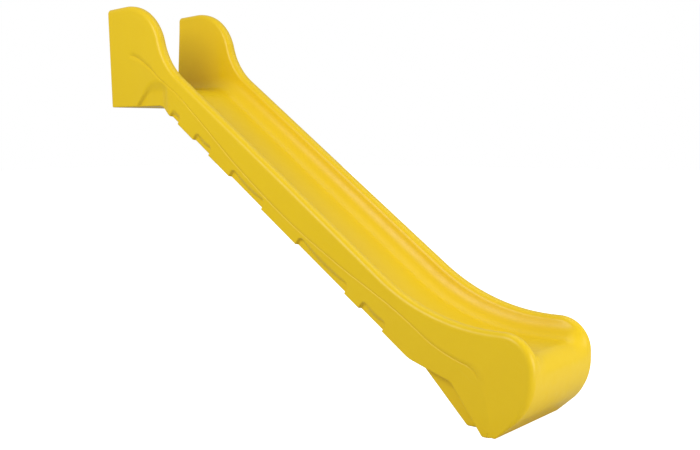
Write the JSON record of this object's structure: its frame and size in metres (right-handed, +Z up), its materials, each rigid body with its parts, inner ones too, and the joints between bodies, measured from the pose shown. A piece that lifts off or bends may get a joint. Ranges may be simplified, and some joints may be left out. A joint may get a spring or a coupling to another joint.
{
  "type": "straight playground slide",
  "caption": "Straight one-piece moulded playground slide with tall hand-hold ears, low rounded walls, a flattened run-out and a broad rounded nose.",
  "frame": {"origin": "on the ground, at the middle of the slide's length and width", "axes": "+X the way a child slides, away from the deck; +Y across, to the left of a child facing down the slide; +Z up"},
  "size_m": [2.5654, 0.588, 1.962],
  "materials": {
    "moulded_plastic": "semi-gloss, coloured through",
    "insert_brass": "machined",
    "plug_plastic": "moulded"
  },
  "bodies": {
    "root": {"chute_shell": "moulded_plastic", "deck_insert_left_lower": "insert_brass", "deck_insert_left_upper": "insert_brass", "deck_insert_right_lower": "insert_brass", "deck_insert_right_upper": "insert_brass", "sill_insert_left": "insert_brass", "sill_insert_right": "insert_brass", "foot_insert_left": "insert_brass", "foot_insert_right": "insert_brass", "vent_plug": "plug_plastic"}
  },
  "joints": []
}
